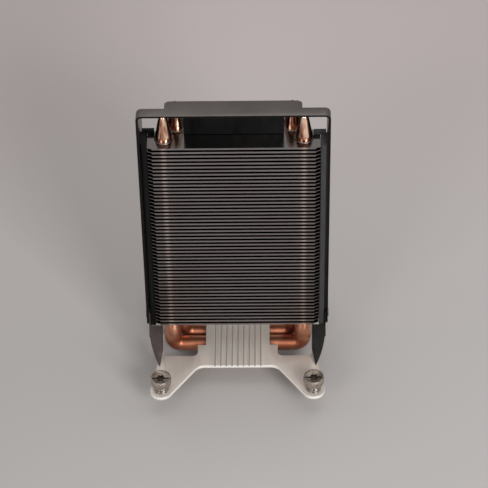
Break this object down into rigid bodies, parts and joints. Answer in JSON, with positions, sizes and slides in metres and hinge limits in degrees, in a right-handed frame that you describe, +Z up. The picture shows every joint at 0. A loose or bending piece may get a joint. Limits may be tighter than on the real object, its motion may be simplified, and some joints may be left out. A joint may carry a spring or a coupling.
{
  "type": "cpu tower cooler",
  "caption": "Tower cooler for a processor: fin stack on U-shaped copper heat pipes, sheet shroud with a slim fan behind, sprung-screw mounting plate.",
  "frame": {"origin": "the point of the contact plate's underside midway between the four screws; the underside sits on the processor", "axes": "+Z up from the contact face along the tower, +X to the right seen from the open fin side, +Y towards the fan"},
  "size_m": [0.091, 0.086, 0.1604],
  "materials": {
    "copper_base": "bare machined copper",
    "block": "bare extruded aluminium",
    "plate": "blanked aluminium with pressed grooves",
    "copper_pipe": "bare drawn copper, slightly tarnished",
    "fin": "stamped aluminium sheet",
    "black_sheet": "black nickel plating on bent steel sheet",
    "black_plastic": "black moulded plastic",
    "grey_plastic": "dark grey moulded plastic",
    "dark_steel": "blackened steel",
    "fan_plastic": "black glass-filled plastic",
    "bronze": "sintered bronze",
    "board": "green lacquered laminate",
    "steel": "plain steel",
    "winding": "enamelled copper wire",
    "magnet": "bonded ferrite",
    "nylon": "natural nylon",
    "nickel_steel": "nickel-plated steel"
  },
  "bodies": {
    "root": {"contact_plate": "copper_base", "base_block": "block", "mounting_plate": "plate", "heat_pipe_front": "copper_pipe", "heat_pipe_rear": "copper_pipe", "fins_bottom": "fin", "fins_lower": "fin", "fins_upper": "fin", "fins_top": "fin", "shroud": "black_sheet", "top_baffle": "black_plastic", "left_edge_strip": "black_plastic", "right_edge_strip": "grey_plastic", "left_leg": "black_sheet", "right_leg": "black_sheet", "shroud_rivets": "dark_steel", "fan_plate": "black_sheet", "fan_frame": "fan_plastic", "fan_screws": "dark_steel", "fan_bearings": "bronze", "fan_circuit_board": "board", "fan_stator_core": "steel", "fan_windings": "winding", "spring_front_left": "steel", "spring_front_right": "steel", "spring_rear_left": "steel", "spring_rear_right": "steel"},
    "rotor": {"fan_rotor": "fan_plastic", "fan_yoke_ring": "steel", "fan_magnet_ring": "magnet", "fan_shaft": "steel", "fan_shaft_clip": "nylon"},
    "sleeve_front_left": {"washer_front_left": "nickel_steel"},
    "fastener_front_left": {"screw_front_left": "nickel_steel", "clip_front_left": "steel"},
    "sleeve_front_right": {"washer_front_right": "nickel_steel"},
    "fastener_front_right": {"screw_front_right": "nickel_steel", "clip_front_right": "steel"},
    "sleeve_rear_left": {"washer_rear_left": "nickel_steel"},
    "fastener_rear_left": {"screw_rear_left": "nickel_steel", "clip_rear_left": "steel"},
    "sleeve_rear_right": {"washer_rear_right": "nickel_steel"},
    "fastener_rear_right": {"screw_rear_right": "nickel_steel", "clip_rear_right": "steel"}
  },
  "joints": [
    {"name": "fan_spin", "type": "hinge", "parent": "root", "child": "rotor", "pos_m": [0, 0.026, 0.0815], "axis": [0, 1, 0], "continuous": true},
    {"name": "press_front_left", "type": "slide", "parent": "root", "child": "sleeve_front_left", "axis": [0, 0, 1], "range_m": [-0.0015, 0], "stiffness_N_per_m": 3000, "springref_m": 0.002, "deforming": ["spring_front_left"]},
    {"name": "turn_front_left", "type": "hinge", "parent": "sleeve_front_left", "child": "fastener_front_left", "pos_m": [-0.0375, -0.0375, 0.015], "axis": [0, 0, 1], "continuous": true},
    {"name": "press_front_right", "type": "slide", "parent": "root", "child": "sleeve_front_right", "axis": [0, 0, 1], "range_m": [-0.0015, 0], "stiffness_N_per_m": 3000, "springref_m": 0.002, "deforming": ["spring_front_right"]},
    {"name": "turn_front_right", "type": "hinge", "parent": "sleeve_front_right", "child": "fastener_front_right", "pos_m": [0.0375, -0.0375, 0.015], "axis": [0, 0, 1], "continuous": true},
    {"name": "press_rear_left", "type": "slide", "parent": "root", "child": "sleeve_rear_left", "axis": [0, 0, 1], "range_m": [-0.0015, 0], "stiffness_N_per_m": 3000, "springref_m": 0.002, "deforming": ["spring_rear_left"]},
    {"name": "turn_rear_left", "type": "hinge", "parent": "sleeve_rear_left", "child": "fastener_rear_left", "pos_m": [-0.0375, 0.0375, 0.015], "axis": [0, 0, 1], "continuous": true},
    {"name": "press_rear_right", "type": "slide", "parent": "root", "child": "sleeve_rear_right", "axis": [0, 0, 1], "range_m": [-0.0015, 0], "stiffness_N_per_m": 3000, "springref_m": 0.002, "deforming": ["spring_rear_right"]},
    {"name": "turn_rear_right", "type": "hinge", "parent": "sleeve_rear_right", "child": "fastener_rear_right", "pos_m": [0.0375, 0.0375, 0.015], "axis": [0, 0, 1], "continuous": true}
  ]
}
